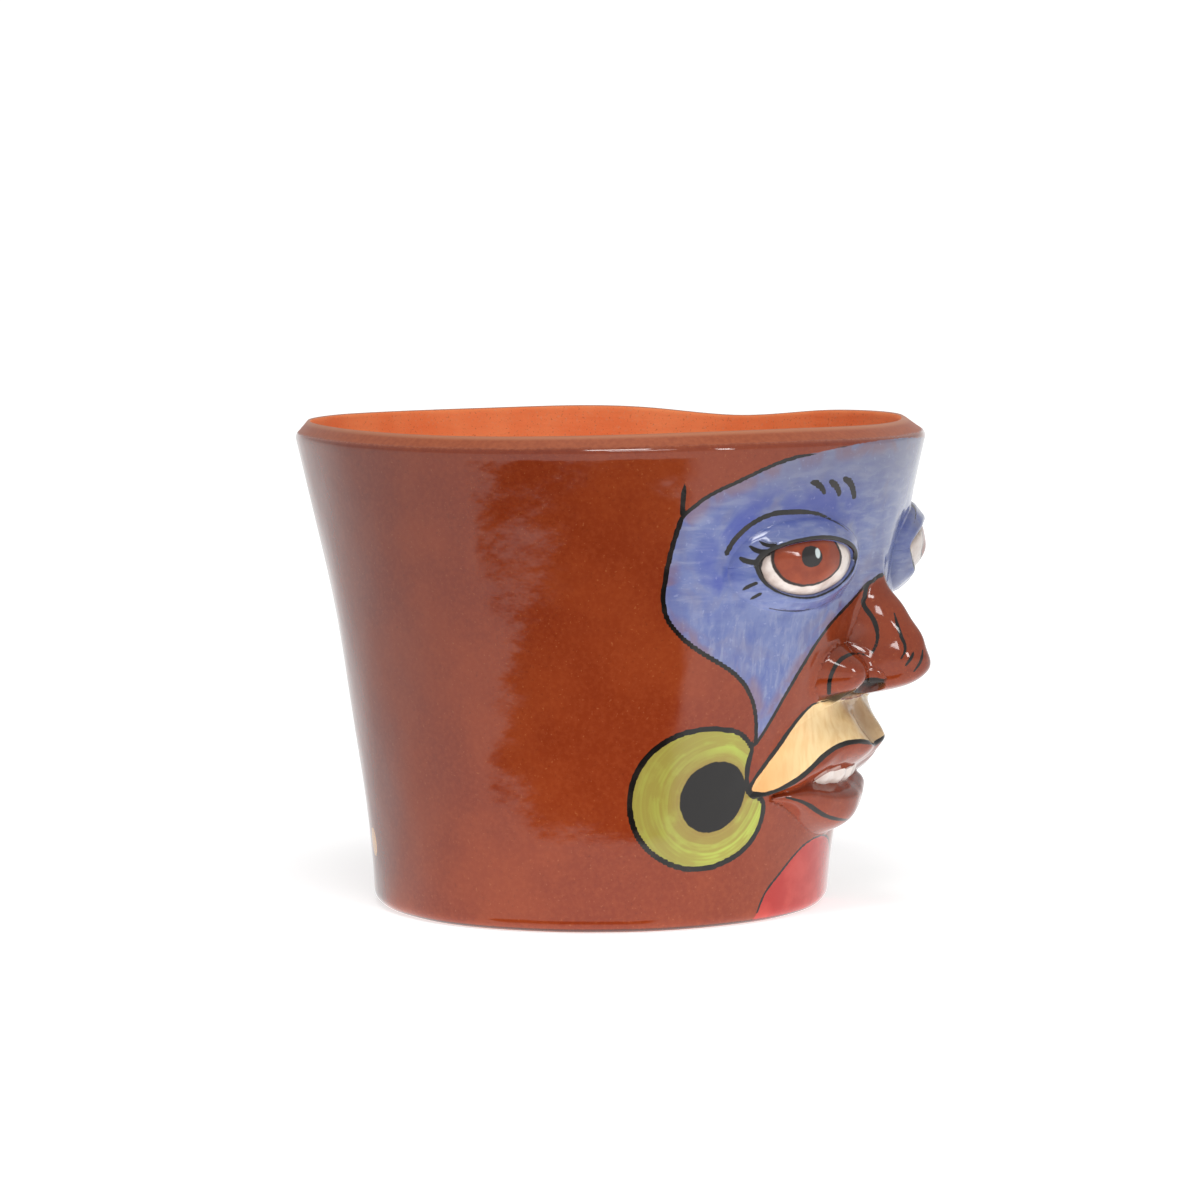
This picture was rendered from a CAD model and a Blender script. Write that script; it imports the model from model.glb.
import math
import bpy
import numpy as np
from mathutils import Euler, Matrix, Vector


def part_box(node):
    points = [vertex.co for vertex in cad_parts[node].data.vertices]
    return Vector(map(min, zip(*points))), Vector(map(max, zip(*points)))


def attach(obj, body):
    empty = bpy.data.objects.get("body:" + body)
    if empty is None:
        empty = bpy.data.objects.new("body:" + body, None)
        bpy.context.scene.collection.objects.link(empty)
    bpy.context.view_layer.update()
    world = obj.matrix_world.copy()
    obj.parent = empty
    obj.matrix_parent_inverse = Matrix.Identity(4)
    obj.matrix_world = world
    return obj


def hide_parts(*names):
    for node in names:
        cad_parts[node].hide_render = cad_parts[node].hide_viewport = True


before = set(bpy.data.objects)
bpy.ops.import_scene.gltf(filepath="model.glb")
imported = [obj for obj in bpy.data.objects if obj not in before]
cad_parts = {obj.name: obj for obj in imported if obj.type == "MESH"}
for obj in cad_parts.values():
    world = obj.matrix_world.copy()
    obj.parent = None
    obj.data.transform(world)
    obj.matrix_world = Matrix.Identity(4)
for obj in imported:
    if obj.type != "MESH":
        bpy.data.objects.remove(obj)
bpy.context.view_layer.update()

# ----------------------------------------
# Cup wall. A slab of red earthenware rolled out, bent round and joined, then paddled to a
# flare. The rim is bevelled outwards with a knife and the foot is rubbed round, and the
# whole wall leans a little towards the face. Its inside is left bare, its outside glazed.
# ----------------------------------------
MM = 0.001
WALL_PROFILE = [(0, 39.5), (12, 40.5), (32, 44.0), (60, 49.8), (84, 55.2)]
CREST_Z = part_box("cup_wall")[1][2] / MM
RIDGE_DROP = 2.7               # the rim's outer edge lies this far below its crest
WALL_AT_RIM = 4.3
WALL_AT_FOOT = 3.9
FOOT_ROUND, RIDGE_ROUND, CREST_ROUND = 2.2, 1.5, 0.75     # radii of the section's rounded corners
THICK_TO = 10.0                # the rim is thickest towards this azimuth and thinnest opposite
THICKER = 0.21                 # by this share of its thickness
LEAN, LEAN_TOP = 2.55, 60.0    # how far the rim stands forward of the foot, from this height up
UNROLL = 50.0                  # radius at which the wall is unrolled flat to measure along it
FACE_SPAN = 66.0               # the face reaches this far round each side of the nose
FINE, COARSE = 0.52, 1.75      # degrees between columns on the face and round the back
ROW = 0.47                     # height between rows of the outside


def smooth_through(points):
    """Natural cubic curve through a few (x, y) points, as a function of x."""
    xs, ys = np.array(points, float).T
    gap = np.diff(xs)
    system, right = np.eye(len(xs)), np.zeros(len(xs))
    for i in range(1, len(xs) - 1):
        system[i, i - 1:i + 2] = gap[i - 1], 2 * (gap[i - 1] + gap[i]), gap[i]
        right[i] = 6 * ((ys[i + 1] - ys[i]) / gap[i] - (ys[i] - ys[i - 1]) / gap[i - 1])
    bend = np.linalg.solve(system, right)

    def at(x):
        x = np.clip(x, xs[0], xs[-1])
        i = np.clip(np.searchsorted(xs, x) - 1, 0, len(gap) - 1)
        a, b = xs[i + 1] - x, x - xs[i]
        return ((bend[i] * a ** 3 + bend[i + 1] * b ** 3) / (6 * gap[i])
                + (ys[i] / gap[i] - bend[i] * gap[i] / 6) * a
                + (ys[i + 1] / gap[i] - bend[i + 1] * gap[i] / 6) * b)

    return at


wall_radius = smooth_through(WALL_PROFILE)


def axis_y(z):
    share = np.clip(z / LEAN_TOP, 0, 1)
    return -LEAN * share * share * (3 - 2 * share)


def place(azimuth, z, out):
    """Point this far out from the wall: azimuth in degrees, 0 at the nose, positive to +X."""
    angle = np.radians(azimuth)
    reach = wall_radius(z) + out
    return np.stack([reach * np.sin(angle), axis_y(z) - reach * np.cos(angle), z + 0 * reach], -1)


def hand_wobble(azimuth, z):
    """The unevenness that fingers and paddle leave, under a third of a millimetre."""
    a = np.radians(azimuth)
    return (0.16 * np.sin(3 * a + z / 21 + 0.6) + 0.10 * np.sin(7 * a - z / 13 + 2.1)
            + 0.04 * np.sin(13 * a + z / 7.5) + 0.025 * np.sin(19 * a - z / 5.2 + 1.0))


# The rim was cut by hand, so it waves a little and dips on one side: (azimuth, lift in mm).
RIM_LIFT = [(-180, 0.25), (-140, 0.1), (-91, -0.6), (-65, -0.25), (-32, 0.2), (0, 0.05),
            (25, 0.35), (53, 0.35), (68, -0.1), (88, -1.3), (108, 0.0), (136, 0.25), (180, 0.25)]
rim_wave = smooth_through(RIM_LIFT)


def set_points(piece, points):
    piece.data.vertices.foreach_set("co", (points * MM).astype(np.float32).ravel())
    piece.data.update()


def points_of(piece):
    flat = np.zeros(len(piece.data.vertices) * 3, np.float32)
    piece.data.vertices.foreach_get("co", flat)
    return flat.reshape(-1, 3).astype(float) / MM


def pick(piece):
    """Selects one piece alone, for the operators that follow."""
    bpy.ops.object.select_all(action="DESELECT")
    piece.select_set(True)
    bpy.context.view_layer.objects.active = piece


def arc(middle, radius, start, end, steps):
    turn = np.radians(np.linspace(start, end, steps))
    return np.stack([middle[0] - radius * np.cos(turn), middle[1] + radius * np.sin(turn)], -1)


# The section of the wall as (inset from the outside, height), up the outside and down the inside.
ridge_z = CREST_Z - RIDGE_DROP
outside = np.arange(2.6, ridge_z - 1.0, ROW)
bevel = np.linspace((1.3, ridge_z + 1.05), (WALL_AT_RIM - 1.0, CREST_Z - 0.2), 6)
inside_z = np.linspace(CREST_Z - 1.2, 0.9, 34)
foot_round = arc((FOOT_ROUND, FOOT_ROUND), FOOT_ROUND, -80, -8, 6)
ridge_round = arc((RIDGE_ROUND, ridge_z - 0.6), RIDGE_ROUND, 5, 62, 7)
crest_round = arc((WALL_AT_RIM - CREST_ROUND, CREST_Z - CREST_ROUND), CREST_ROUND, 95, 175, 6)
section = np.vstack([
    foot_round,
    np.stack([0 * outside, outside], -1),
    ridge_round,
    bevel,
    crest_round,
    np.stack([np.interp(inside_z, [0, CREST_Z], [WALL_AT_FOOT, WALL_AT_RIM]), inside_z], -1),
    np.stack([np.linspace(WALL_AT_FOOT, 2.6, 4), np.zeros(4)], -1),
])
GLAZED_ROWS = len(foot_round) + len(outside) + len(ridge_round) + len(bevel) + 2    # glazed up to the crest

columns = np.concatenate([
    np.arange(-FACE_SPAN, FACE_SPAN, FINE),
    np.linspace(FACE_SPAN, 360 - FACE_SPAN, round((360 - 2 * FACE_SPAN) / COARSE), endpoint=False),
])
bpy.ops.mesh.primitive_grid_add(x_subdivisions=len(columns), y_subdivisions=len(section), size=2)
wall = bpy.context.object
wall.name = "wall_of_clay"
counts = [[len(columns)], [len(section)]]
across, along = np.rint((points_of(wall)[:, :2].T * MM + 1) / 2 * counts).astype(int)
wall_az, wall_row = columns[across % len(columns)], along % len(section)
wall_az = np.where(wall_az > 180, wall_az - 360, wall_az)
wall_inset, wall_z = section[wall_row, 0], section[wall_row, 1]
thicker_here = THICKER * np.cos(np.radians(wall_az - THICK_TO))
wall_inset = wall_inset * (1 + thicker_here * np.clip(wall_z / 50, 0, 1))
near_rim = np.clip((wall_z - 60) / (CREST_Z - 60), 0, 1) ** 2
# One side of the foot was cut a little high, so a thin shadow shows below it.
near_foot = np.clip(1 - wall_z / 8, 0, 1) * np.clip(-np.cos(np.radians(wall_az + 110)), 0, 1) ** 3
above_ridge = wall_z - ridge_z
wall_z = wall_z + near_rim * rim_wave(wall_az) + 0.7 * near_foot


def finger_marks(azimuth, z):
    """Small hollows that fingertips leave where the face was modelled."""
    u = np.radians(azimuth) * UNROLL
    worked = (mound(azimuth, z, (0.0, 47.0), (11.0, 11.0), 1.0)
              + mound(azimuth, z, (27.0, 61.0), (13.0, 8.0), 0.7)
              + mound(azimuth, z, (8.0, 29.0), (20.0, 9.0), 0.6))
    return worked * (0.18 * np.sin(u / 1.15 + z / 1.9 + 0.7) * np.sin(z / 1.45 - u / 2.3)
                     + 0.12 * np.sin(u / 1.7 - z / 0.95 + 2.0))


def mound(azimuth, z, at, size, height):
    """Low swelling on both sides of the face, at (azimuth, height) and of (width, height) in mm."""
    across = np.radians(np.abs(azimuth) - at[0]) * UNROLL / size[0]
    return height * np.exp(-across ** 2 - ((z - at[1]) / size[1]) ** 2)


def wall_skin(azimuth, z):
    """The wall pushed out from inside under the eyes, the cheeks and the mouth."""
    return (mound(azimuth, z, (26.0, 60.5), (10.0, 6.5), 0.7)
            + mound(azimuth, z, (0.0, 25.0), (11.0, 8.0), 2.0)
            + mound(azimuth, z, (20.0, 43.0), (9.0, 8.0), 0.4)
            - mound(azimuth, z, (12.5, 60.0), (4.0, 7.0), 0.5))


# Each piece of clay is kept here with its vertices' places and its surface, which gives how far
# out it lies at (azimuth, height), until the joins are smoothed and every surface is known.
clay = {}
clay["wall"] = {"piece": wall, "az": wall_az, "z": wall_z, "skin": wall_skin, "nodes": ["cup_wall"],
                "slot": "red_glaze", "inset": wall_inset}

# ----------------------------------------
# Floor. A disc of the same clay, luted inside the bottom of the wall. A coil of soft clay
# is thumbed into the corner, and the underside keeps the faint arcs of the cutting wire.
# ----------------------------------------
FLOOR_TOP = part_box("floor_disc")[1][2] / MM
# The disc's section as (radius, height), from the middle of the underside to the middle of the top.
FLOOR_SECTION = [(0.0, 0.35), (20.0, 0.30), (34.6, 0.12), (35.45, 0.5), (36.0, 2.0), (36.5, 4.6),
                 (37.0, 7.6), (36.0, 7.0), (34.8, 5.9), (32.8, 5.2), (29.0, FLOOR_TOP), (0.0, FLOOR_TOP)]
bpy.ops.mesh.primitive_uv_sphere_add(segments=160, ring_count=96)
floor_disc = bpy.context.object
floor_disc.name = "floor_of_clay"
ball = points_of(floor_disc) * MM
steps = np.arange(len(FLOOR_SECTION))
along = (np.arcsin(np.clip(ball[:, 2], -1, 1)) / math.pi + 0.5) * steps[-1]
disc_r, disc_z = (np.interp(along, steps, column) for column in np.array(FLOOR_SECTION).T)
turn = np.arctan2(ball[:, 1], ball[:, 0])
disc_z = disc_z + np.where(disc_z > 4, 0.10 * np.sin(disc_r / 1.35 + turn), 0.0)
set_points(floor_disc, np.stack([disc_r * np.cos(turn), disc_r * np.sin(turn), disc_z], -1))
pick(floor_disc)
bpy.ops.object.shade_smooth()
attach(floor_disc, "root")
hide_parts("floor_disc")

# ----------------------------------------
# Eyes. A ball of clay is pressed into a dent in the wall on each side, and two strips are
# laid over and under it for lids. Each strip's free edge is rounded with a wet brush and
# stands about a millimetre proud of the ball; its other edge is smoothed into the wall.
# ----------------------------------------
EYE_AZ, EYE_Z = 27.0, 61.1
BALL_HALF = (13.0, 7.0, 6.4)   # half its width, and how far it reaches up and down
BALL_MIDDLE, BALL_OUT = -3.0, 7.4      # its middle lies inside the wall, and it bulges this far from there
LID = 0.9                      # thickness of the lids
OPEN_OFF = (-0.5, 0.9)         # the opening's middle from the ball's, away from the nose and up
OPEN_HALF, OPEN_UP, OPEN_DOWN = 10.4, 4.1, 5.9
LID_HALF = (15.2, 8.6, 8.0)    # the lids' swelling, measured as the ball is
LID_REACH = (17.5, 10.6)       # where the strips end under the wall's surface
LID_EDGE = 0.55                # rounding of the free edge


def ball_skin(azimuth, z, at, half, middle, out, roundness=0.5):
    """Surface of a ball of clay set into the wall at (azimuth, height); 0.5 is a true ellipsoid."""
    tall = np.where(z > at[1], half[1], half[-1])
    q = (np.radians(np.abs(azimuth) - at[0]) * UNROLL / half[0]) ** 2 + ((z - at[1]) / tall) ** 2
    bulge = middle + out * np.clip(1 - q, 0, 1) ** roundness
    return np.where(q < 1, bulge, middle - 6 * (np.minimum(q, 3) - 1))


def lid_skin(azimuth, z):
    return ball_skin(azimuth, z, (EYE_AZ, EYE_Z), LID_HALF, BALL_MIDDLE, BALL_OUT + LID, 0.8)


def margin(turn):
    """Free edge of the lids, from the ball's middle: 0 is the corner by the nose, 90 is up."""
    c, s = np.cos(turn), np.sin(turn)
    inner = np.clip(c, 0, 1) ** 2
    rise = np.where(s > 0, OPEN_UP * (1 - 0.25 * inner), OPEN_DOWN * (1 - 0.45 * inner))
    return OPEN_OFF[0] - OPEN_HALF * c, OPEN_OFF[1] + rise * s


for side, name in ((-1, "right"), (1, "left")):
    bpy.ops.mesh.primitive_uv_sphere_add(segments=96, ring_count=64)
    eyeball = bpy.context.object
    eyeball.name = f"ball_of_{name}_eye"
    unit = points_of(eyeball) * MM
    # The sphere's pole faces outwards: its Z runs out of the wall, X along it and Y up it.
    ball_az = side * EYE_AZ + np.degrees(unit[:, 0] * BALL_HALF[0] / UNROLL)
    ball_z = EYE_Z + unit[:, 1] * np.where(unit[:, 1] > 0, BALL_HALF[1], BALL_HALF[2])
    clay[f"{name}_eyeball"] = {"piece": eyeball, "az": ball_az, "z": ball_z, "skin": None,
                               "out": BALL_MIDDLE + np.clip(unit[:, 2], -0.1, 1) * BALL_OUT,
                               "nodes": [f"eyeball_{name}"], "slot": "white_glaze"}
    for lid, start, end in (("upper", 0.0, 180.0), ("lower", 180.0, 360.0)):
        bpy.ops.mesh.primitive_grid_add(x_subdivisions=120, y_subdivisions=34, size=2)
        strip = bpy.context.object
        strip.name = f"{lid}_lid_of_{name}_eye"
        u, v = (points_of(strip)[:, :2].T * MM + 1) / 2
        turn = np.radians(start + (end - start) * (u if side < 0 else 1 - u))
        edge_u, edge_z = margin(turn)
        far_u, far_z = -LID_REACH[0] * np.cos(turn), LID_REACH[1] * np.sin(turn)
        # v runs from deep under the free edge (0), round it (to 0.3), and out to the wall (1).
        skin_v = np.clip((v - 0.3) / 0.7, 0, 1) ** 1.25
        round_v = np.clip((0.3 - v) / 0.16, 0, 1) * math.pi / 2
        under = np.clip((0.14 - v) / 0.14, 0, 1) * 1.5
        away_u, away_z = far_u - edge_u, far_z - edge_z
        length = np.hypot(away_u, away_z)
        back = LID_EDGE * (1 - np.sin(round_v)) * (1 - skin_v)
        lid_u = edge_u + away_u * skin_v + back * away_u / length
        lid_z = edge_z + away_z * skin_v + back * away_z / length
        drop = LID_EDGE * (1 - np.cos(round_v)) + under
        clay[f"{name}_{lid}_lid"] = {
            "piece": strip, "az": side * (EYE_AZ + np.degrees(lid_u / UNROLL)), "z": EYE_Z + lid_z,
            "skin": lid_skin, "inset": drop, "thick": 0.5, "nodes": [f"{lid}_eyelid_{name}"],
            "slot": "red_glaze" if lid == "upper" else "blue_glaze"}

# ----------------------------------------
# Nose. A wedge of clay luted down the middle, with its ridge and tip modelled, and a small
# pellet pressed on each side for the wings. The nostrils are pushed in from below with the
# end of a brush.
# ----------------------------------------
BURIED = -4.0                  # how deep in the wall each wedge or roll of clay is keyed
NOSE_FOOT, NOSE_ROOT = 36.2, 66.0
# By height: how far the ridge stands out, half the nose's width, and how square its section is.
nose_out = smooth_through([(36.2, -3.5), (37.5, 1.2), (38.4, 5.2), (39.4, 9.0), (40.8, 11.6),
                           (42.8, 12.6), (45.0, 12.2), (48.2, 10.0), (52.0, 6.8), (56.0, 2.6),
                           (58.5, 0.6), (62.0, -1.4), (66.0, -4.0)])
nose_half = smooth_through([(36.2, 8.0), (40.0, 8.4), (43.0, 8.4), (47.0, 8.0), (52.0, 7.2),
                            (57.0, 5.2), (62.0, 3.6), (66.0, 2.5)])
nose_round = smooth_through([(36.2, 2.6), (40.0, 2.6), (43.0, 2.4), (47.0, 1.9), (52.0, 1.7), (66.0, 1.7)])
WING_AT, WING_HALF, WING_MIDDLE, WING_OUT = (11.2, 42.0), (6.3, 5.3), -0.8, 7.2
NOSTRIL_AZ, NOSTRIL_OUT, NOSTRIL_HALF, NOSTRIL_DEPTH = 7.4, 6.0, (2.6, 2.3), 3.2


def nose_skin(azimuth, z):
    across = np.radians(np.abs(azimuth)) * UNROLL / nose_half(z)
    fall = 1 - np.clip(across, 0, 1.3) ** nose_round(z)
    swell = BURIED + (nose_out(z) - BURIED) * np.sign(fall) * np.abs(fall) ** 0.85
    return np.where((z < NOSE_FOOT) | (z > NOSE_ROOT), BURIED, np.maximum(swell, BURIED - 2))


def wing_skin(azimuth, z):
    return ball_skin(azimuth, z, WING_AT, WING_HALF, WING_MIDDLE, WING_OUT, 0.9)


def even_rows(low, high, profile, count):
    """Heights from low to high, spaced evenly along the clay's profile."""
    z = np.linspace(low, high, 2000)
    length = np.concatenate([[0], np.cumsum(np.hypot(np.diff(z), np.diff(profile(z))))])
    return np.interp(np.linspace(0, length[-1], count), length, z)


def lay_sheet(name, columns, rows):
    """Sheet of clay with its vertices' (across, up) in 0..1."""
    bpy.ops.mesh.primitive_grid_add(x_subdivisions=columns - 1, y_subdivisions=rows - 1, size=2)
    sheet = bpy.context.object
    sheet.name = name
    u, v = (points_of(sheet)[:, :2].T * MM + 1) / 2
    return sheet, u, v


rows = even_rows(NOSE_FOOT, NOSE_ROOT - 2, nose_out, 170)
sheet, u, v = lay_sheet("wedge_of_nose", 100, len(rows))
clay["nose"] = {"piece": sheet, "az": (2 * u - 1) * 12.5, "z": rows[np.rint(v * (len(rows) - 1)).astype(int)],
                "skin": nose_skin, "thick": 1.0, "nodes": ["nose"], "slot": "red_glaze"}
for side, name in ((-1, "right"), (1, "left")):
    sheet, u, v = lay_sheet(f"pellet_of_{name}_wing", 80, 80)
    clay[f"{name}_wing"] = {
        "piece": sheet, "az": side * WING_AT[0] + (2 * u - 1) * 7.4, "z": WING_AT[1] + (2 * v - 1) * 5.4,
        "skin": wing_skin, "thick": 0.8, "nodes": [f"nose_wing_{name}"], "slot": "red_glaze"}

# ----------------------------------------
# Mouth. Two rolls of clay, the upper one drawn up to the nose in a long slope, part over a
# thin strip that is notched with a knife for teeth.
# ----------------------------------------


def even_through(points):
    """Smooth curve through points on one side of the nose and their mirrors on the other."""
    return smooth_through([(-azimuth, value) for azimuth, value in points[:0:-1]] + points)


# By azimuth: the heights of each roll's top, crest and bottom, and how far the crest stands out.
upper_top = even_through([(0, 38.0), (11, 38.0), (17, 36.8), (22, 33.6), (26, 29.4), (29.5, 24.4),
                          (31, 22.5)])
upper_edge = even_through([(0, 29.2), (5, 30.2), (10, 29.4), (15, 27.0), (20, 24.6), (25, 22.9),
                           (29.5, 22.3), (31, 22.3)])
upper_gap = even_through([(0, 23.6), (8, 23.6), (14, 22.4), (20, 21.9), (25, 22.2), (29.5, 22.0),
                          (31, 22.0)])
upper_out = even_through([(0, 6.6), (4, 6.9), (9, 5.6), (15, 4.2), (20, 3.2), (25, 2.2), (29.5, 0.9),
                          (31, -0.5)])
lower_top = even_through([(0, 23.4), (8, 23.6), (14, 24.2), (20, 23.2), (24, 21.8)])
lower_edge = even_through([(0, 19.6), (8, 20.1), (14, 21.0), (20, 21.6), (24, 21.6)])
lower_foot = even_through([(0, 13.8), (8, 15.2), (14, 17.8), (20, 20.4), (24, 21.2)])
lower_out = even_through([(0, 5.4), (6, 4.8), (14, 3.7), (20, 2.3), (24, 0.8)])
MOUTH_HALF, LOWER_HALF = 31.0, 24.0
TEETH_Z, TEETH_HALF, TOOTH = 25.2, 16.0, 4.6


def upper_lip_skin(azimuth, z):
    a = np.abs(azimuth)
    top, edge, gap, out = upper_top(a), upper_edge(a), upper_gap(a), upper_out(a)
    above = np.clip((z - edge) / np.maximum(top - edge, 0.5), 0, 3)
    below = np.clip((edge - z) / np.maximum(edge - gap, 0.5), 0, 3)
    roll = np.where(z > edge, out - (out + 1.0) * above ** 1.15, out - np.maximum(out, 1.0) * below ** 1.7)
    groove = 0.9 * np.exp(-(a / 3.8) ** 2) * np.clip((z - edge) / 3, 0, 1)
    roll = roll + mound(azimuth, z, (19.5, 32.0), (4.2, 3.2), 0.7)
    return np.where(a < MOUTH_HALF, np.maximum(roll - groove, BURIED), BURIED)


def lower_lip_skin(azimuth, z):
    a = np.abs(azimuth)
    top, edge, foot, out = lower_top(a), lower_edge(a), lower_foot(a), lower_out(a)
    above = np.clip((z - edge) / np.maximum(top - edge, 0.4), 0, 3)
    below = np.clip((edge - z) / np.maximum(edge - foot, 0.4), 0, 3)
    roll = np.where(z > edge, out - (out + 0.5) * above ** 2, out - np.maximum(out - 0.8, 0.8) * below ** 3.4)
    return np.where(a < LOWER_HALF, np.maximum(roll, BURIED), BURIED)


def teeth_skin(azimuth, z):
    a = np.abs(azimuth)
    notch = 0.35 * np.abs((np.radians(azimuth) * UNROLL / TOOTH) % 1 - 0.5) * 2
    strip = 3.0 - 1.7 * (a / 13) ** 2 - notch - 1.5 * ((z - TEETH_Z) / 2.9) ** 4
    return np.where(a < TEETH_HALF, np.maximum(strip, BURIED), BURIED)


for name, half, curves, skin, slot in (
    ("upper_lip", MOUTH_HALF, (upper_gap, upper_edge, upper_top), upper_lip_skin, "yellow_glaze"),
    ("lower_lip", LOWER_HALF, (lower_foot, lower_edge, lower_top), lower_lip_skin, "red_glaze"),
):
    sheet, u, v = lay_sheet(f"roll_of_{name}", 170, 72)
    az = (2 * u - 1) * (half - 0.1)
    low, edge, high = (curve(np.abs(az)) for curve in curves)
    low, high = low - 1.2, high + 1.2
    z = np.where(v < 0.5, low + (edge - low) * 2 * v, edge + (high - edge) * (2 * v - 1))
    clay[name] = {"piece": sheet, "az": az, "z": z, "skin": skin, "thick": 1.0, "nodes": [name], "slot": slot}
sheet, u, v = lay_sheet("strip_of_teeth", 130, 40)
clay["teeth"] = {
    "piece": sheet, "az": (2 * u - 1) * TEETH_HALF, "z": TEETH_Z + (2 * v - 1) * 3.6,
    "skin": teeth_skin, "thick": 0.8, "nodes": ["teeth_strip"], "slot": "white_glaze"}

# ----------------------------------------
# Joins. Every joint is scored, wetted with slip and smoothed with a finger or a small tool
# until the pieces run into each other, so near a joint both surfaces are drawn up to meet.
# Each value is the width of clay that the smoothing moved, in millimetres.
# ----------------------------------------
JOINS = {
    ("wall", "nose"): 3.0, ("wall", "upper_lip"): 2.0, ("wall", "lower_lip"): 2.0,
    ("nose", "upper_lip"): 1.0, ("upper_lip", "lower_lip"): 0.8, ("upper_lip", "teeth"): 0.3,
    ("lower_lip", "teeth"): 0.3, ("wall", "teeth"): 0.3,
}
for name in ("right", "left"):
    JOINS[("wall", f"{name}_wing")] = 4.0
    JOINS[("nose", f"{name}_wing")] = 6.5
    JOINS[("wall", f"{name}_upper_lid")] = JOINS[("wall", f"{name}_lower_lid")] = 3.2
    JOINS[(f"{name}_wing", "upper_lip")] = 0.8


def drawn_up(lead, width):
    """How far a surface is drawn up at a joint, from how far it stands above its neighbour."""
    near = np.clip(1 - lead / width, 0, 1) ** 2 * width / 4
    hidden = width / 4 - lead / 2 - 1.25 * lead * lead / width
    deep = -width / 2 - (-lead - width)
    return np.where(lead >= 0, near, np.where(lead > -width, hidden, np.maximum(deep, -2.0)))


for name, part in clay.items():
    az, z = part["az"], part["z"]
    if part["skin"] is None:
        part["lead"] = np.full(len(az), 9.0)
        set_points(part["piece"], place(az, z, part["out"] + hand_wobble(az, z) + finger_marks(az, z)))
        continue
    own = part["skin"](az, z)
    rise, lead = np.full(len(az), -9.0), np.full(len(az), 9.0)
    for pair, width in JOINS.items():
        if name in pair:
            other = clay[pair[0] if pair[1] == name else pair[1]]
            gap = own - other["skin"](az, z)
            if "lid" in str(pair):
                eye_side = np.sign(az) == (-1 if "right" in str(pair) else 1)
                gap = np.where(eye_side, gap, 9.0)
            rise = np.maximum(rise, drawn_up(gap, width))
            lead = np.minimum(lead, gap)
    deep = lead < -0.05
    hollow = np.where(deep, np.minimum(drawn_up(np.minimum(lead, 0), 1.5), rise), rise)
    out = own + np.where(name == "wall", hollow, rise)
    part["lead"] = lead
    facing = np.clip(1 - part["inset"] / 2.0, 0, 1) if name == "wall" else 1
    marks = finger_marks(az, z) * facing
    out = np.maximum(out * facing, -2.0) - part.get("inset", 0) + hand_wobble(az, z) + marks
    if name == "nose" or name.endswith("wing"):
        aside = (np.abs(az) - NOSTRIL_AZ) / np.degrees(NOSTRIL_HALF[0] / UNROLL)
        reach = aside ** 2 + ((out - NOSTRIL_OUT) / NOSTRIL_HALF[1]) ** 2
        push = np.clip(1 - reach, 0, 1) ** 0.6 * np.clip((40.6 - z) / 0.9, 0, 1)
        z = z + NOSTRIL_DEPTH * push
    set_points(part["piece"], place(az, z, out))

for name, part in clay.items():
    piece = part["piece"]
    pick(piece)
    # A sheet is cut off where it lies buried, and thickened into solid clay.
    if "thick" in part and not name.endswith("lid"):
        bpy.ops.object.mode_set(mode="EDIT")
        bpy.ops.mesh.select_mode(type="VERT")
        bpy.ops.mesh.select_all(action="DESELECT")
        bpy.ops.object.mode_set(mode="OBJECT")
        piece.data.vertices.foreach_set("select", part["lead"] < -1.6)
        bpy.ops.object.mode_set(mode="EDIT")
        bpy.ops.mesh.delete(type="VERT")
        bpy.ops.object.mode_set(mode="OBJECT")
    if "thick" in part:
        body = piece.modifiers.new("body of clay", "SOLIDIFY")
        body.thickness = part["thick"] * MM
        body.offset = -1
        bpy.ops.object.modifier_apply(modifier=body.name)
    bpy.ops.object.shade_smooth()
    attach(piece, "root")
    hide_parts(*part["nodes"])

# ----------------------------------------
# Decoration. Underglaze colours brushed on the bare clay in thin, uneven coats, then black
# lines drawn with a small round brush. Each vertex keeps its distance in mm to the edge of
# each colour, negative inside it, so that the glaze's material can find the edges.
# ----------------------------------------
# Lines are given as (azimuth, height) for one side of the face; ovals as a middle and half sizes.
BLUE = [                        # by the rim, down the cheek, and back along the nose
    [(0, 81.4), (13, 81.3), (19, 80.9), (26, 80.1), (32, 79.3), (38, 77.6), (43, 75.6), (48, 73.5),
     (52.6, 70.2)],
    [(52.6, 70.2), (53.8, 66.5), (55.2, 60), (54.8, 54), (52.3, 51), (48, 48.1), (43, 45.7), (38, 43),
     (34.2, 39.4), (32, 35.4), (31, 31.2)],
    [(31, 31.2), (28.5, 34.6), (25.6, 39.4), (20, 47.4), (14.5, 51.8), (10, 54), (4.3, 57.2), (0, 58.2)],
]
RING = [(31.5, 30.5), (32, 28), (31.5, 25), (30, 22.6), (26, 21.4), (25.2, 18), (28, 14), (34, 11.4),
        (42, 10.4), (50, 12), (56, 15.5), (59, 20.5), (58.6, 26.5), (55, 31), (48, 34), (41, 34.4),
        (35, 33.2), (31.5, 30.5)]
DISC_AT, DISC_HALF = (39.6, 22.7), (7.1, 6.1)
LIP_TOP = [(30.6, 22.9), (29.9, 24.6), (28.2, 26.7), (25.4, 29.8), (22.6, 33), (19.6, 35.6), (16, 37.5),
           (13, 38.3), (9, 37.7), (4, 37.1), (0, 36.9)]
LIP_EDGE = [(30.6, 22.9), (28.4, 22.6), (25.6, 22.8), (22.8, 23.7), (18.2, 26), (14.7, 28.4), (11, 30),
            (7, 30.5), (3.7, 30.1), (0, 29.2)]
CHIN = [(24.2, -1), (23.4, 1.5), (21, 5), (17, 7.6), (13, 9.9), (8, 12.2), (0, 13.4)]
CREASE = [(43.8, 63.6), (42.4, 66), (39.6, 68.4), (36, 70), (30.5, 70.4), (25, 69.9), (20.4, 68.4),
          (16.5, 66.4)]
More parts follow.
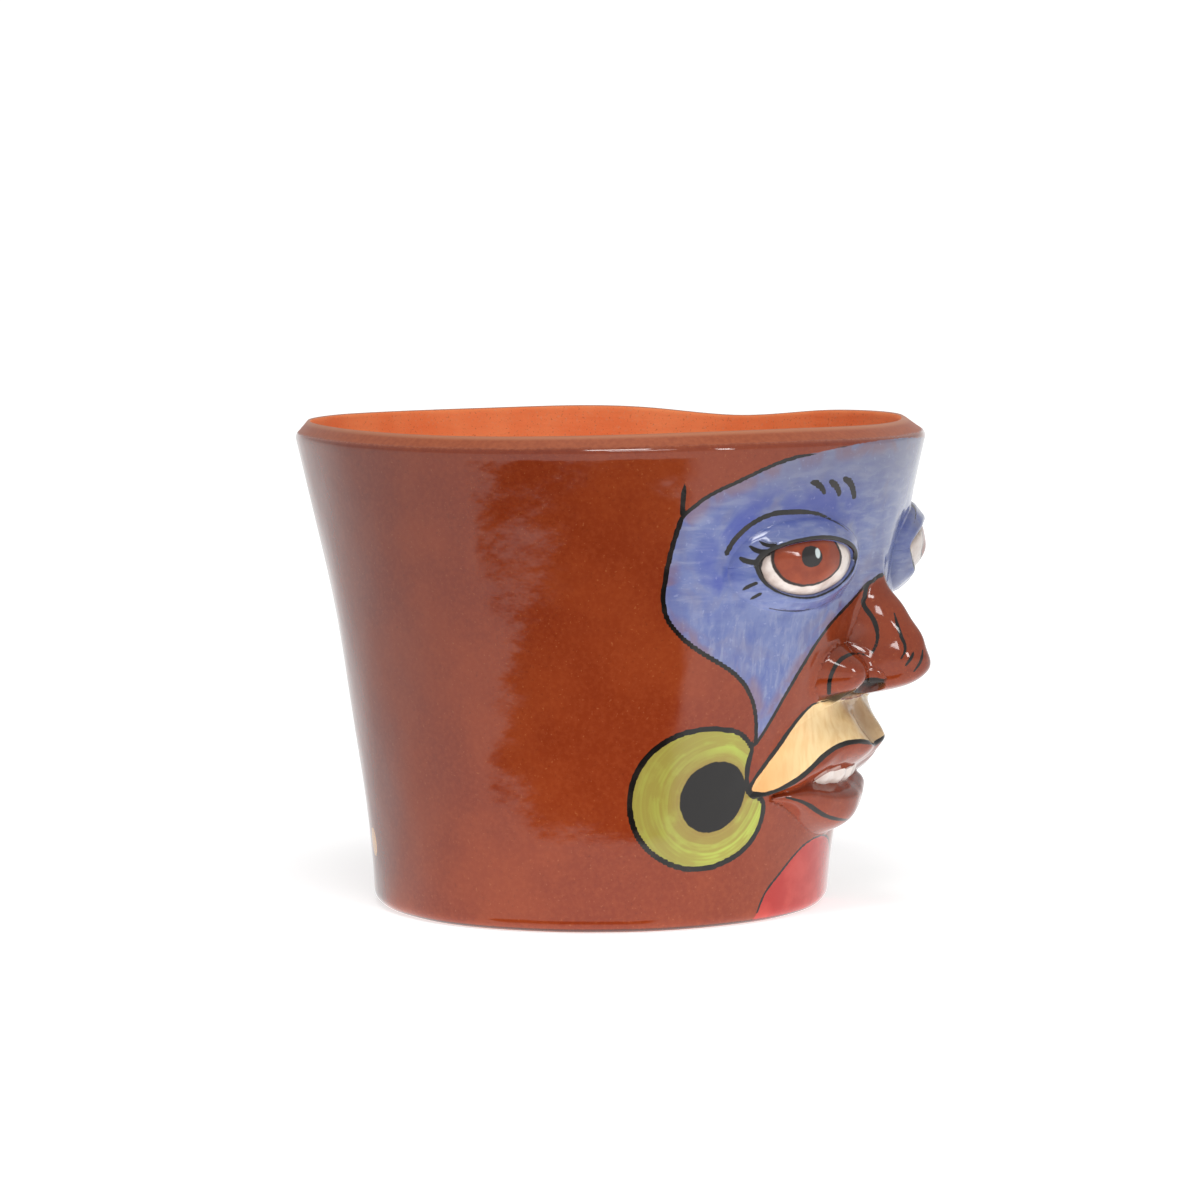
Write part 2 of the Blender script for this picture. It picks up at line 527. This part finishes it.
GATHERED = [(46, 58), (44, 66), (38, 71), (30, 72), (20, 71), (16, 66)]    # where the blue gathers
STROKES = [                     # (points, full width in mm, how full the start and the end are)
    (BLUE[0][2:], 0.75, (0.2, 1.0)),
    (BLUE[1], 0.95, (1.0, 0.8)),
    (BLUE[2], 0.8, (0.8, 0.9)),
    ([(52.3, 76.2), (52.6, 73), (52.6, 70.2)], 0.9, (0.1, 1.0)),
    (RING, 1.05, (1.0, 1.0)),
    (LIP_TOP[:8], 0.8, (0.8, 0.4)),
    (LIP_EDGE, 0.95, (1.0, 0.8)),
    ([(21.4, 21.8), (17, 20.7), (11, 18.4), (5, 16.9), (0, 16.3)], 0.85, (0.3, 0.6)),
    (CHIN[1:], 0.5, (0.8, 0.9)),
    (CREASE, 0.95, (1.0, 0.1)),
    ([(34.4, 54.9), (28.7, 54.1), (24, 54.5), (20.4, 55.9)], 0.4, (0.2, 0.2)),
    ([(27.9, 75.3), (25.2, 74.6), (23.4, 72.9)], 1.3, (0.3, 0.6)),
    ([(23.2, 75.3), (20.8, 74.2), (19.5, 72.5)], 1.4, (0.4, 0.7)),
    ([(19.6, 75.5), (17.8, 75.0), (16.3, 73.7), (15.2, 71.9)], 1.45, (0.5, 0.8)),
    ([(41.4, 63.5), (40.2, 62.7), (38, 62.4)], 0.9, (0.2, 1.0)),
    ([(39.6, 65.2), (38.6, 64.2), (36, 64)], 0.8, (0.1, 1.0)),
    ([(37.9, 65.7), (37, 64.9), (35, 65)], 0.6, (0.1, 1.0)),
    ([(40.2, 58.2), (39, 59), (37.8, 59.5)], 0.7, (0.1, 1.0)),
    ([(38.4, 56.6), (37.4, 57.3), (36.6, 57.9)], 0.7, (0.1, 1.0)),
    ([(4.3, 57.4), (5.3, 55.4), (5.4, 51), (5.8, 47.8), (6.9, 45.2)], 0.9, (0.7, 0.5)),
    ([(6.9, 44.9), (10.4, 45.6), (14, 45.1), (15.9, 43.6), (16.3, 41), (15, 39)], 0.7, (0.3, 1.0)),
    ([(2.5, 52.5), (3.3, 48.8), (3.6, 46.4), (4.9, 44.3)], 0.7, (0.2, 0.4)),
    ([(2.7, 45.9), (4.5, 43.2)], 0.6, (0.3, 0.6)),
    ([(0.8, 46.2), (3.2, 42.1)], 0.6, (0.3, 0.6)),
]
SHADE_UNDER_NOSE = (10.0, 38.4), (4.6, 1.2)      # black brushed along the lower edge of the wings
DAB_AT, DAB_HALF = (-140.5, 11.5), (2.2, 2.6)    # a stray touch of yellow near the foot
EYE_PAINT = (("iris", (28.4, 63.0), (6.4, 4.7)), ("pupil", (28.4, 63.1), (2.0, 1.75)),
             ("glint", (27.1, 63.6), (0.5, 0.85)))
THIN_STROKE = 0.65             # a line under this width keeps a sign on its distance


def flat(points):
    """(azimuth, height) points as millimetres on the unrolled wall."""
    points = np.array(points, float)
    return np.stack([np.radians(points[:, 0]) * UNROLL, points[:, 1]], -1)


def brush_path(points, step=0.2):
    """Smooth line through (azimuth, height) points, with a point every step."""
    knots = np.array(points, float)
    if len(knots) == 2:
        knots = np.insert(knots, 1, knots.mean(0), 0)
    length = np.concatenate([[0], np.cumsum(np.hypot(*np.diff(flat(knots), axis=0).T))])
    t = np.linspace(0, length[-1], max(int(length[-1] / step), 5))
    return np.stack([smooth_through(np.stack([length, column], -1))(t) for column in knots.T], -1)


def clay_surface(azimuth, z):
    """Point on the modelled face, before its joins are smoothed."""
    skins = (wall_skin, nose_skin, wing_skin, lid_skin, upper_lip_skin, lower_lip_skin)
    return place(azimuth, z, np.max([skin(azimuth, z) for skin in skins], axis=0))


def unit_rows(vectors):
    return vectors / np.maximum(np.linalg.norm(vectors, axis=1, keepdims=True), 1e-9)


def eased(rows, span=4):
    """Running mean of the rows, as far as span rows away."""
    index, last = np.arange(len(rows)), len(rows) - 1
    shifted = [rows[np.clip(index + shift, 0, last)] for shift in range(-span, span + 1)]
    return np.mean(shifted, axis=0)


def close_to(places, path, reach):
    """Which places lie in the box round the path, grown by reach."""
    return np.flatnonzero(((places > path.min(0) - reach) & (places < path.max(0) + reach)).all(1))


def ink_of(points, reach=2.6):
    """For each point, its distance to the side of the nearest stroke and that stroke's half width.

    For a thin line the side distance has a sign, so that it stays whole between two vertices."""
    side, half = np.full(len(points), 4.0), np.full(len(points), -4.0)
    for line, width, ends in STROKES:
        path = brush_path(line)
        on_clay = eased(clay_surface(*path.T))
        along = unit_rows(np.gradient(on_clay, axis=0))
        up = clay_surface(path[:, 0], path[:, 1] + 0.2) - clay_surface(path[:, 0], path[:, 1] - 0.2)
        round_it = clay_surface(path[:, 0] + 0.2, path[:, 1]) - clay_surface(path[:, 0] - 0.2, path[:, 1])
        across = unit_rows(eased(np.cross(unit_rows(np.cross(round_it, up)), along)))
        t = np.linspace(0, 1, len(path))
        press = np.minimum(ends[0] + (1 - ends[0]) * np.clip(t / 0.35, 0, 1),
                           ends[1] + (1 - ends[1]) * np.clip((1 - t) / 0.45, 0, 1))
        near = close_to(points, on_clay, reach)
        for start in range(0, len(near), 3000):
            some = near[start:start + 3000]
            away = points[some][:, None] - on_clay[None]
            nearest = np.argmin((away ** 2).sum(2), axis=1)
            away = away[np.arange(len(some)), nearest]
            this_side, past = (away * across[nearest]).sum(1), np.abs((away * along[nearest]).sum(1))
            at_end = (nearest == 0) | (nearest == len(path) - 1)
            this_half = press[nearest] * width / 2 - np.where(at_end, 1.5 * past, 0)
            this_half = this_half - 6 * np.maximum(np.abs(this_side) - width / 2 - 0.15, 0)
            this_half = np.where(np.linalg.norm(away, axis=1) < reach, this_half, -4.0)
            this_side = this_side if width < THIN_STROKE else np.abs(this_side)
            better = np.abs(this_side) - this_half < np.abs(side[some]) - half[some]
            side[some] = np.where(better, this_side, side[some])
            half[some] = np.where(better, this_half, half[some])
    return side, half


def distance_to(places, path, half_width=0.0, reach=4.0):
    """Distance from each place to the path, less its half width; beyond reach it is reach."""
    out = np.full(len(places), reach)
    near = close_to(places, path, reach)
    half = np.broadcast_to(half_width, len(path))
    for start in range(0, len(near), 4000):
        some = near[start:start + 4000]
        away = np.hypot(*(places[some][:, None] - path[None]).transpose(2, 0, 1)) - half
        out[some] = np.minimum(out[some], away.min(1))
    return out


def inside(places, outline):
    """Which places lie inside a closed outline."""
    within = np.zeros(len(places), bool)
    near = close_to(places, outline, 0.0)
    x, y = places[near].T
    odd = np.zeros(len(near), bool)
    for (x0, y0), (x1, y1) in zip(outline, np.roll(outline, -1, axis=0)):
        if y0 != y1:
            odd ^= ((y0 > y) != (y1 > y)) & (x < x0 + (y - y0) * (x1 - x0) / (y1 - y0))
    within[near] = odd
    return within


def signed_distance(places, outline, reach=4.0):
    away = distance_to(places, outline, 0.0, reach)
    return np.where(inside(places, outline), -away, away)


def oval(places, at, half):
    """Rough signed distance to an ellipse with its middle at (azimuth, height)."""
    middle = flat([at])[0]
    return (np.hypot(*((places - middle) / half).T) - 1) * min(half)


def outline(*lines):
    """Closed outline on the unrolled wall, from lines on one side of the face and their mirrors."""
    one_side = np.vstack([brush_path(line) for line in lines])
    return flat(np.vstack([one_side, (one_side * (-1, 1))[::-1]]))


blue_outline, chin_outline, ring_outline = outline(*BLUE), outline(CHIN), flat(brush_path(RING))
lip_outline = outline(LIP_TOP[::-1], LIP_EDGE)
gathered_line = flat(brush_path(GATHERED))


def keep(piece, name, values):
    layer = piece.data.attributes.new(name, "FLOAT", "POINT")
    layer.data.foreach_set("value", values.astype(np.float32))


lash_turn = np.linspace(0, math.pi * 2, 400)
lash_line = flat([(EYE_AZ, EYE_Z)]) + np.stack(margin(lash_turn), -1)
outer_corner = np.clip(-np.cos(lash_turn), 0, 1) ** 6
lash_half = np.where(lash_turn < math.pi, 0.38, 0.20) + 0.45 * outer_corner
for name, part in clay.items():
    piece = part["piece"]
    x, y, z = points_of(piece).T
    azimuth = np.degrees(np.arctan2(x, -(y - axis_y(z))))
    out = np.hypot(x, y - axis_y(z)) - wall_radius(z)
    # The left half was painted freehand after the right one, so it wanders a little from it.
    free = np.clip(azimuth / 8, 0, 1)
    azimuth = azimuth + free * (0.5 * np.sin(z / 8.5 + 1.3) + 0.25 * np.sin(z / 3.7))
    z = z + free * 0.4 * np.sin(azimuth / 9 + 0.4)
    places = flat(np.stack([azimuth, z], -1))
    either = np.stack([np.abs(places[:, 0]), places[:, 1]], -1)   # both sides of the face as one
    side, half = ink_of(place(np.abs(azimuth), z, out))
    if name.endswith("lid") or name.endswith("eyeball"):
        to_edge = distance_to(either, lash_line, lash_half)
        better = to_edge < np.abs(side) - half
        side, half = np.where(better, to_edge + 1, side), np.where(better, 1, half)
    keep(piece, "ink_side", side)
    keep(piece, "ink_half", half)
    keep(piece, "blue", signed_distance(places, blue_outline))
    keep(piece, "green", signed_distance(either, ring_outline))
    keep(piece, "ring_across", np.hypot(*((either - flat([DISC_AT])[0]) / (1.18, 1.0)).T))
    keep(piece, "disc", oval(either, DISC_AT, DISC_HALF))
    keep(piece, "red", signed_distance(places, chin_outline))
    keep(piece, "yellow", signed_distance(places, lip_outline))
    keep(piece, "dab", oval(places, DAB_AT, DAB_HALF))
    keep(piece, "aside", np.abs(azimuth))
    keep(piece, "gathered", distance_to(either, gathered_line, 0.0, 12.0))
    if name.endswith("eyeball"):
        for layer, at, half in EYE_PAINT:
            keep(piece, layer, oval(either, at, half))
    across = np.radians(np.abs(azimuth) - NOSTRIL_AZ) * UNROLL / NOSTRIL_HALF[0]
    nostril = (np.hypot(across, (out - NOSTRIL_OUT) / NOSTRIL_HALF[1]) - 1) * NOSTRIL_HALF[1]
    nostril = np.minimum(np.where(z < 41.5, nostril, 4.0), oval(either, *SHADE_UNDER_NOSE))
    keep(piece, "nostril", nostril if name == "nose" or name.endswith("wing") else np.full(len(z), 4.0))
    keep(piece, "section_row", wall_row if name == "wall" else np.zeros(len(z)))
    keep(piece, "above_ridge", above_ridge if name == "wall" else np.full(len(z), -20.0))


def linear(hexadecimal):
    """sRGB hex colour as linear red, green, blue, alpha."""
    parts = [int(hexadecimal[i:i + 2], 16) / 255 for i in (1, 3, 5)]
    return tuple(c / 12.92 if c <= 0.04045 else ((c + 0.055) / 1.055) ** 2.4 for c in parts) + (1.0,)


def put(kind, inputs, output=0, **settings):
    """Adds a node to the open tree and returns its output; an input is a value or such an output."""
    made = tree.nodes.new("ShaderNode" + kind)
    for key, value in settings.items():
        setattr(made, key, value)
    for socket, value in inputs.items():
        if isinstance(value, bpy.types.NodeSocket):
            tree.links.new(value, made.inputs[socket])
        else:
            made.inputs[socket].default_value = value
    return made.outputs[output]


def start_material(name, layers, patterns):
    """Opens a new material, with the painted layers it reads and its patterns.

    A pattern is its spots' size in mm, detail, roughness, distortion, and its squeeze along x, y, z."""
    global tree
    material = bpy.data.materials.new(name)
    material.use_nodes = True
    tree = material.node_tree
    where = put("TexCoord", {}, "Object")
    edge = {layer: put("Attribute", {}, "Fac", attribute_name=layer) for layer in layers}
    pattern = {}
    for spots, (size, detail, roughness, distortion, *stretch) in patterns.items():
        along = put("Mapping", {"Vector": where, "Scale": stretch}) if stretch else where
        pattern[spots] = put("TexNoise", {"Vector": along, "Scale": 1 / (size * MM), "Detail": detail,
                                          "Roughness": roughness, "Distortion": distortion}, "Fac")
    return material, tree.nodes["Principled BSDF"], where, edge, pattern


SOFTLY = {"interpolation_type": "SMOOTHSTEP"}      # a change without a hard start or end


def coat(under, over, guide, low=0.08, high=-0.08, most=1.0, shake=0.0, broken_by=()):
    """Brushes a colour over another, from none where the guide is low to most where it is high.

    The brush wanders by shake, and the coat is broken up by patterns as (pattern, none, all)."""
    under, over = (linear(one) if isinstance(one, str) else one for one in (under, over))
    if shake:
        guide = put("Math", {0: shaky, 1: shake, 2: guide}, operation="MULTIPLY_ADD")
    amount = most
    for value, start, end in ((guide, low, high), *broken_by):
        amount = put("MapRange", {"Value": value, "From Min": start, "From Max": end, "To Max": amount},
                     "Result", **SOFTLY)
    return put("Mix", {0: amount, 6: under, 7: over}, 2, data_type="RGBA")


# Glazed earthenware: iron-rich red clay under a clear lead-free gloss glaze, dipped. The
# glaze is smooth, so it mirrors the room sharply, but its surface rolls gently over the
# hand-made clay, and tiny iron specks show through it.
glazed, shader, where, edge, pattern = start_material("clear-glazed red earthenware", (
    "ink_side", "ink_half", "blue", "green", "ring_across", "disc", "red", "yellow", "dab", "aside",
    "gathered", "nostril", "above_ridge"), {
    "cloud": (14, 3, 0.55, 0.0),
    "patch": (5, 4, 0.55, 0.0),
    "grain": (0.8, 2, 0.55, 0.0),
    "speck": (0.45, 1, 0.55, 0.0),
    "shake": (1.6, 3, 0.55, 0.0),
    "downward streak": (1.7, 4, 0.55, 0.5, 1.4, 1.4, 0.35),
    "sideways streak": (1.9, 4, 0.55, 0.5, 0.35, 0.35, 1.5),
    "gather": (6.5, 3, 0.5, 0.8),
    "fleck": (0.9, 3, 0.55, 0.0),
    "roll": (6.5, 2, 0.4, 0.0),
    "skin": (1.1, 2, 0.55, 0.0)})
height = put("SeparateXYZ", {0: where}, "Z")
cloud, patch, grain, speck = (pattern[name] for name in ("cloud", "patch", "grain", "speck"))
# A painted edge wanders by a fifth of a millimetre either way.
shaky = put("Math", {0: pattern["shake"], 1: 0.42, 2: -0.21}, operation="MULTIPLY_ADD")
clay_colour = coat("#7A2C11", "#853516", cloud, 0.35, 0.65)
clay_colour = coat(clay_colour, "#944523", grain, 0.35, 0.75, 0.3)
clay_colour = coat(clay_colour, "#B87549", speck, 0.68, 0.76, 0.22)
clay_colour = coat(clay_colour, "#54200F", speck, 0.32, 0.26, 0.3)

# Blue: thin and streaky, darker where it gathers by the crease, worn to grey by the rim.
above_cheek = put("MapRange", {"Value": height, "From Min": 48 * MM, "From Max": 60 * MM}, "Result", **SOFTLY)
streak = put("Mix", {0: above_cheek, 2: pattern["downward streak"], 3: pattern["sideways streak"]},
             data_type="FLOAT")
gather = pattern["gather"]
blue = coat("#5C689C", "#727DA8", patch, 0.28, 0.72)
blue = coat(blue, "#8D93B0", streak, 0.46, 0.70, 0.6)
blue = coat(blue, "#4E5C9C", streak, 0.46, 0.30, 0.5)
blue = coat(blue, "#3D4A9C", edge["gathered"], 6.5, 0.0, 0.85, broken_by=[(gather, 0.36, 0.66)])
blue = coat(blue, "#75708A", gather, 0.5, 0.25, 0.5)
blue = coat(blue, "#777687", height, 68 * MM, 81 * MM, 0.6)
blue = coat(blue, "#806068", edge["blue"], -3.2, -1.0, 0.6, broken_by=[(gather, 0.40, 0.60)])
blue = coat(blue, "#A3AACB", pattern["fleck"], 0.62, 0.74, 0.3)
colour = coat(clay_colour, blue, edge["blue"], shake=1.0)

# Green: one loaded brush turned round the disc, so its streaks are rings.
ring_along = put("Math", {0: edge["ring_across"], 1: 0.9 * MM}, operation="MULTIPLY")
ring_drift = put("Math", {0: cloud, 1: 4 * MM}, operation="MULTIPLY")
ring_place = put("CombineXYZ", {0: ring_along, 1: ring_drift})
ring_streak = put("TexNoise", {"Vector": ring_place, "Scale": 1 / MM, "Detail": 3, "Roughness": 0.5}, "Fac")
ring_middle = put("Math", {0: patch, 1: 4.0, 2: edge["ring_across"]}, operation="MULTIPLY_ADD")
green = coat("#A9B84E", "#97903F", ring_streak, 0.38, 0.62)
green = coat(green, "#8C6F3A", ring_middle, 12.5, 7.0, 0.8)
green = coat(green, "#B4C75A", patch, 0.55, 0.75, 0.5)
green = coat(green, "#86753B", edge["aside"], 36.0, 54.0, 0.6)
colour = coat(colour, green, edge["green"], shake=1.0)
colour = coat(colour, "#120F0E", edge["disc"], 0.1, -0.1, shake=1.0)

red = coat("#A2241E", "#B0382F", patch, 0.35, 0.65)
colour = coat(colour, red, edge["red"], shake=1.0)

# Yellow: warm at the corner of the mouth, thin and tan over the groove below the nose.
yellow = coat("#EED09A", "#E2BC84", streak, 0.35, 0.7)
yellow = coat(yellow, "#F0AC6A", edge["aside"], 15.0, 28.0, 0.8)
yellow = coat(yellow, "#A98C6C", edge["aside"], 6.0, 1.5, 0.6)
yellow_edge = put("Math", {0: edge["yellow"], 1: edge["dab"]}, operation="MINIMUM")
colour = coat(colour, yellow, yellow_edge, shake=1.0)

# Black: soft in the nostrils and under the wings, sharp in the drawn lines.
colour = coat(colour, "#1E1512", edge["nostril"], 0.5, -0.4, shake=1.0)
ink_colour = coat("#14110F", "#28221F", patch, 0.4, 0.7)
off_line = put("Math", {0: edge["ink_side"]}, operation="ABSOLUTE")
ink = put("Math", {0: off_line, 1: edge["ink_half"]}, operation="SUBTRACT")
colour = coat(colour, ink_colour, ink, 0.07, -0.07, shake=0.5)

# On the bevelled rim the glaze was wiped thin, so the clay is paler there and only satin.
rim_edge = put("Math", {0: shaky, 1: 1.2, 2: edge["above_ridge"]}, operation="MULTIPLY_ADD")
wiped_off = put("MapRange", {"Value": rim_edge, "From Min": 0.35, "From Max": 1.0}, "Result", **SOFTLY)
rim_colour = coat("#98451D", "#A65229", grain, 0.3, 0.7)
rim_colour = coat(rim_colour, "#B87350", edge["above_ridge"], 1.9, 2.5)
colour = put("Mix", {0: wiped_off, 6: colour, 7: rim_colour}, 2, data_type="RGBA")
tree.links.new(colour, shader.inputs["Base Color"])
roughness = put("MapRange", {"Value": wiped_off, "To Min": 0.07, "To Max": 0.42}, "Result", **SOFTLY)
tree.links.new(roughness, shader.inputs["Roughness"])
shader.inputs["IOR"].default_value = 1.52
roll = put("Bump", {"Height": pattern["roll"], "Strength": 1.0, "Distance": 0.10 * MM})
skin = put("Bump", {"Height": pattern["skin"], "Strength": 1.0, "Distance": 0.008 * MM, "Normal": roll})
tree.links.new(skin, shader.inputs["Normal"])
for name, part in clay.items():
    if not name.endswith("eyeball") and name != "teeth":
        part["piece"].data.materials.append(glazed)

# Glazed white slip: a thicker opaque white under the same clear glaze, thin enough at its
# edges for the clay to warm it.
slip, shader, where, edge, pattern = start_material(
    "clear-glazed white slip", ("ink_side", "ink_half", "iris", "pupil", "glint"), {
        "shake": (1.3, 3, 0.55, 0.0),
        "patch": (3, 4, 0.55, 0.0),
        "fleck": (0.7, 3, 0.55, 0.0),
        "roll": (4.0, 2, 0.55, 0.0)})
shaky = put("Math", {0: pattern["shake"], 1: 0.35, 2: -0.175}, operation="MULTIPLY_ADD")
patch = pattern["patch"]
off_line = put("Math", {0: edge["ink_side"]}, operation="ABSOLUTE")
ink = put("Math", {0: off_line, 1: edge["ink_half"]}, operation="SUBTRACT")
white = coat("#E4D9D2", "#CDBDB4", patch, 0.35, 0.7)
white = coat(white, "#A77F70", pattern["fleck"], 0.62, 0.8, 0.5)
white = coat(white, "#94786A", ink, 1.3, 0.1, 0.55, shake=4.0)
iris = coat("#853317", "#96401F", patch, 0.35, 0.65)
colour = coat(white, iris, edge["iris"], shake=1.0)
iris_edge = put("Math", {0: edge["iris"], 1: shaky}, operation="ADD")
iris_edge = put("Math", {0: iris_edge}, operation="ABSOLUTE")
iris_line = put("Math", {0: iris_edge, 1: 0.20}, operation="SUBTRACT")
colour = coat(colour, "#2A1A14", iris_line)
colour = coat(colour, "#1F1B1A", edge["pupil"], shake=1.0)
colour = coat(colour, "#C9D3D2", edge["glint"], shake=0.4)
colour = coat(colour, "#14110F", ink, 0.07, -0.07, shake=0.5)
tree.links.new(colour, shader.inputs["Base Color"])
shader.inputs["Roughness"].default_value = 0.08
shader.inputs["IOR"].default_value = 1.52
roll = put("Bump", {"Height": pattern["roll"], "Strength": 1.0, "Distance": 0.05 * MM})
tree.links.new(roll, shader.inputs["Normal"])
for name in ("right_eyeball", "left_eyeball", "teeth"):
    clay[name]["piece"].data.materials.append(slip)
teeth_strip = clay["teeth"]["piece"]
for layer in ("iris", "pupil", "glint"):           # the teeth have none of the eye's colours
    keep(teeth_strip, layer, np.full(len(teeth_strip.data.vertices), 4.0))

# Bare earthenware: the same clay fired without glaze, so it is lighter, orange and matte,
# with fine grains of sand and the marks of a wet sponge.
bare, shader, where, edge, pattern = start_material("unglazed terracotta", (), {
    "cloud": (16, 3, 0.55, 0.0),
    "sand": (0.6, 2, 0.55, 0.0),
    "speck": (0.4, 1, 0.55, 0.0),
    "sponge marks": (2.2, 3, 0.5, 0.0, 0.25, 0.25, 1.6),
    "grit": (0.5, 2, 0.55, 0.0)})
colour = coat("#EC7A42", "#F28A52", pattern["cloud"], 0.35, 0.65)
colour = coat(colour, "#E0956A", pattern["sand"], 0.55, 0.75, 0.45)
colour = coat(colour, "#9C4A2B", pattern["speck"], 0.36, 0.28, 0.4)
tree.links.new(colour, shader.inputs["Base Color"])
shader.inputs["Roughness"].default_value = 0.82
marks = put("Bump", {"Height": pattern["sponge marks"], "Strength": 1.0, "Distance": 0.12 * MM})
grit = put("Bump", {"Height": pattern["grit"], "Strength": 1.0, "Distance": 0.03 * MM, "Normal": marks})
tree.links.new(grit, shader.inputs["Normal"])
floor_disc.data.materials.append(bare)
wall.data.materials.append(bare)
pick(wall)
bpy.ops.object.mode_set(mode="EDIT")
bpy.ops.mesh.select_all(action="SELECT")
bpy.ops.mesh.remove_doubles(threshold=1e-7)        # closes the seams along the back and the foot
bpy.ops.object.mode_set(mode="OBJECT")
row = np.zeros(len(wall.data.vertices), np.float32)
wall.data.attributes["section_row"].data.foreach_get("value", row)
for face in wall.data.polygons:
    first, last = row[list(face.vertices)].min(), row[list(face.vertices)].max()
    foot_ring = last < 1.5 or first < 0.5 and last > 3
    if last > GLAZED_ROWS or foot_ring:
        face.material_index = 1

# ----------------------------------------
# Studio: a sheet of white paper, a bright room that the glaze mirrors, lights and camera.
# ----------------------------------------
bpy.ops.mesh.primitive_plane_add(size=6.0, location=(0, 0, 0))
table_top = bpy.context.object
table_top.name = "table_top"
table_top.visible_glossy = False     # the glaze mirrors the room instead, as over a lit sweep
# White paper, matt and evenly lit; it brightens away from the piece, as a lit sweep does.
paper = bpy.data.materials.new("white paper sweep")
paper.use_nodes = True
tree = paper.node_tree
shader = tree.nodes["Principled BSDF"]
shader.inputs["Base Color"].default_value = (0.6, 0.6, 0.6, 1)
shader.inputs["Roughness"].default_value = 0.9
shader.inputs["Emission Color"].default_value = (1, 1, 1, 1)
for_camera = put("LightPath", {}, "Is Camera Ray")
away = put("VectorMath", {0: put("TexCoord", {}, "Object")}, "Value", operation="LENGTH")
outwards = {"Value": away, "From Min": 0.15, "From Max": 0.70, "To Min": 0.70, "To Max": 0.92}
brighter = put("MapRange", outwards, "Result", **SOFTLY)
glow = put("Mix", {0: for_camera, 2: 0.24, 3: brighter}, data_type="FLOAT")
tree.links.new(glow, shader.inputs["Emission Strength"])
table_top.data.materials.append(paper)

# Mirrored in the glaze the white room is bright below and dimmer above, and dark around the
# camera; what falls on the clay itself is softer.
VIEW_AZIMUTH = -65.0
world = bpy.data.worlds.new("studio")
bpy.context.scene.world = world
world.use_nodes = True
tree = world.node_tree
toward = put("TexCoord", {}, "Generated")
SIDEWAYS, CAMERAWARD = (0.4226, -0.9063, 0.0), (-0.9063, -0.4226, 0.0)     # level, as the camera sees it
to_side = put("VectorMath", {0: toward, 1: SIDEWAYS}, "Value", operation="DOT_PRODUCT")
to_camera = put("VectorMath", {0: toward, 1: CAMERAWARD}, "Value", operation="DOT_PRODUCT")
bearing = put("Math", {0: to_side, 1: to_camera}, operation="ARCTAN2")
up = put("SeparateXYZ", {0: toward}, "Z")
dark = 1.0
for value, low, high in (
    (bearing, math.radians(-62), math.radians(-54)),
    (bearing, math.radians(38), math.radians(24)),
    (up, -0.43, -0.48),
    (up, -0.88, -0.56),
):
    limits = {"Value": value, "From Min": low, "From Max": high, "To Max": dark}
    dark = put("MapRange", limits, "Result", **SOFTLY)
mirrored = put("MapRange", {"Value": dark, "To Min": 1.1, "To Max": 0.02}, "Result", **SOFTLY)
dimmer = {"Value": up, "From Max": 0.25, "To Min": 1.0, "To Max": 0.6}
dimmer_above = put("MapRange", dimmer, "Result", **SOFTLY)
mirrored = put("Math", {0: mirrored, 1: dimmer_above}, operation="MULTIPLY")
in_glaze = put("LightPath", {}, "Is Glossy Ray")
for_camera = put("LightPath", {}, "Is Camera Ray")
strength = put("Mix", {0: in_glaze, 2: 0.27, 3: mirrored}, data_type="FLOAT")
strength = put("Mix", {0: for_camera, 2: strength, 3: 1.1}, data_type="FLOAT")
tree.links.new(strength, tree.nodes["Background"].inputs["Strength"])
tree.nodes["Background"].inputs["Color"].default_value = (1, 1, 1, 1)
bpy.context.scene.view_settings.view_transform = "Standard"


def soft_light(name, place_at, aim, size, power, size_y=None):
    """Rectangular lamp at a point, aimed at another, in metres and watts."""
    data = bpy.data.lights.new(name, "AREA")
    data.shape = "RECTANGLE"
    data.size, data.size_y, data.energy = size, size_y or size, power
    light = bpy.data.objects.new(name, data)
    bpy.context.scene.collection.objects.link(light)
    light.location = place_at
    light.rotation_euler = (Vector(aim) - Vector(place_at)).to_track_quat("-Z", "Y").to_euler()


soft_light("window_light", (-0.80, -0.55, 0.95), (0, 0, 0.05), 0.50, 2.4, 0.14)
soft_light("side_window_light", (-0.42, -1.0, 0.55), (0, -0.04, 0.045), 0.14, 2.0, 0.34)
soft_light("overhead_light", (-0.44, -0.20, 1.1), (0, 0, 0.05), 0.38, 5.5)
soft_light("bounce_card", (-0.070, -0.056, 0.0006), (-0.070, -0.056, 1.0), 0.17, 0.13)
bpy.data.objects["bounce_card"].visible_glossy = False
bpy.data.objects["bounce_card"].visible_camera = False

camera_data = bpy.data.cameras.new("camera")
camera_data.sensor_width = 36.0
camera_data.lens = 127.5
camera = bpy.data.objects.new("camera", camera_data)
bpy.context.scene.collection.objects.link(camera)
camera.location = (-0.6679, -0.3120, 0.1164)
camera.rotation_euler = Euler([math.radians(turn) for turn in (90 - 4.973, 0.30, VIEW_AZIMUTH)], "XYZ")
bpy.context.scene.camera = camera
